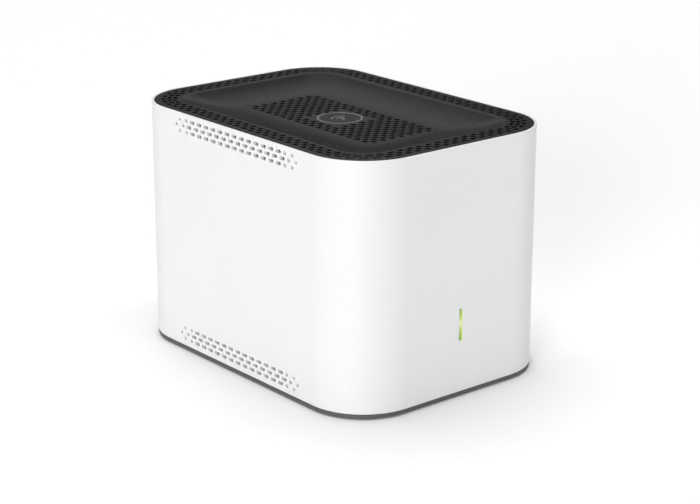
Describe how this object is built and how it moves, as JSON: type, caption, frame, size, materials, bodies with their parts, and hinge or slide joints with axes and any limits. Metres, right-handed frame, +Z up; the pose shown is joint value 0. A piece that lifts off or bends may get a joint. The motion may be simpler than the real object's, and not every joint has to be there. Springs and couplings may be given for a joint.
{
  "type": "wireless router",
  "caption": "Tower-shaped home router: rounded white sleeve with side vents, dished dark vented top cover, dark base, rear bay of network sockets and buttons.",
  "frame": {"origin": "middle of the underside, on the surface the feet stand on", "axes": "+Z up; -Y is the narrow front with the status light; +Y is the rear with the sockets; +X is to the right seen from the front"},
  "size_m": [0.1256, 0.1736, 0.12],
  "materials": {
    "white_shell": "moulded ABS, fine satin texture",
    "dark_cover": "moulded, fine matt texture",
    "grey_base": "moulded, matt",
    "emblem_ink": "printed light grey on dark plastic",
    "label_film": "blank satin film label",
    "rear_plastic": "moulded, matt black",
    "light_pipe": "clear acrylic, lit green",
    "led": "clear resin LED, lit",
    "frame_plastic": "moulded, matt",
    "circuit_board": "solder-masked glass epoxy",
    "chip_plastic": "moulded epoxy",
    "thermal_pad": "soft silicone",
    "aluminium": "extruded, bare",
    "plated_steel": "nickel plated",
    "wan_plastic": "moulded, yellow",
    "black_plastic": "black nylon",
    "button_plastic": "moulded, matt",
    "plunger_plastic": "white acetal",
    "rubber": "soft silicone rubber"
  },
  "bodies": {
    "housing": {"sleeve": "white_shell", "top_cover": "dark_cover", "base_cover": "grey_base", "emblem_disc": "emblem_ink", "rating_label": "label_film", "rear_panel": "rear_plastic", "light_guide": "light_pipe", "status_led": "led", "antenna_frame": "frame_plastic", "main_board": "circuit_board", "button_board": "circuit_board", "light_board": "circuit_board", "antenna_1": "circuit_board", "antenna_2": "circuit_board", "antenna_3": "circuit_board", "antenna_4": "circuit_board", "processor": "chip_plastic", "inductor": "chip_plastic", "line_transformer": "chip_plastic", "power_switch": "chip_plastic", "pairing_switch": "chip_plastic", "reset_switch": "chip_plastic", "capacitor_1": "chip_plastic", "capacitor_2": "chip_plastic", "thermal_pad": "thermal_pad", "heat_sink": "aluminium", "radio_shield_1": "plated_steel", "radio_shield_2": "plated_steel", "lan_jack_1": "plated_steel", "lan_jack_2": "plated_steel", "lan_jack_3": "plated_steel", "base_screw_1": "plated_steel", "base_screw_2": "plated_steel", "base_screw_3": "plated_steel", "base_screw_4": "plated_steel", "board_screw_1": "plated_steel", "board_screw_2": "plated_steel", "board_screw_3": "plated_steel", "board_screw_4": "plated_steel", "button_board_screw_1": "plated_steel", "button_board_screw_2": "plated_steel", "wan_jack": "wan_plastic", "power_inlet": "black_plastic", "heat_sink_pin_1": "black_plastic", "heat_sink_pin_2": "black_plastic", "antenna_lead_1": "black_plastic", "antenna_lead_2": "black_plastic", "antenna_lead_3": "black_plastic", "antenna_lead_4": "black_plastic", "foot_1": "rubber", "foot_2": "rubber", "foot_3": "rubber", "foot_4": "rubber"},
    "power_push": {"power_button": "button_plastic", "power_plunger": "plunger_plastic"},
    "pairing_push": {"pairing_button": "button_plastic", "pairing_plunger": "plunger_plastic"},
    "reset_push": {"reset_plunger": "plunger_plastic"}
  },
  "joints": [
    {"name": "power_button_press", "type": "slide", "parent": "housing", "child": "power_push", "axis": [0, -1, 0], "range_m": [0, 0.0018], "stiffness_N_per_m": 1500},
    {"name": "pairing_button_press", "type": "slide", "parent": "housing", "child": "pairing_push", "axis": [0, -1, 0], "range_m": [0, 0.0005], "stiffness_N_per_m": 3000},
    {"name": "reset_press", "type": "slide", "parent": "housing", "child": "reset_push", "axis": [0, -1, 0], "range_m": [0, 0.0004], "stiffness_N_per_m": 3000}
  ]
}
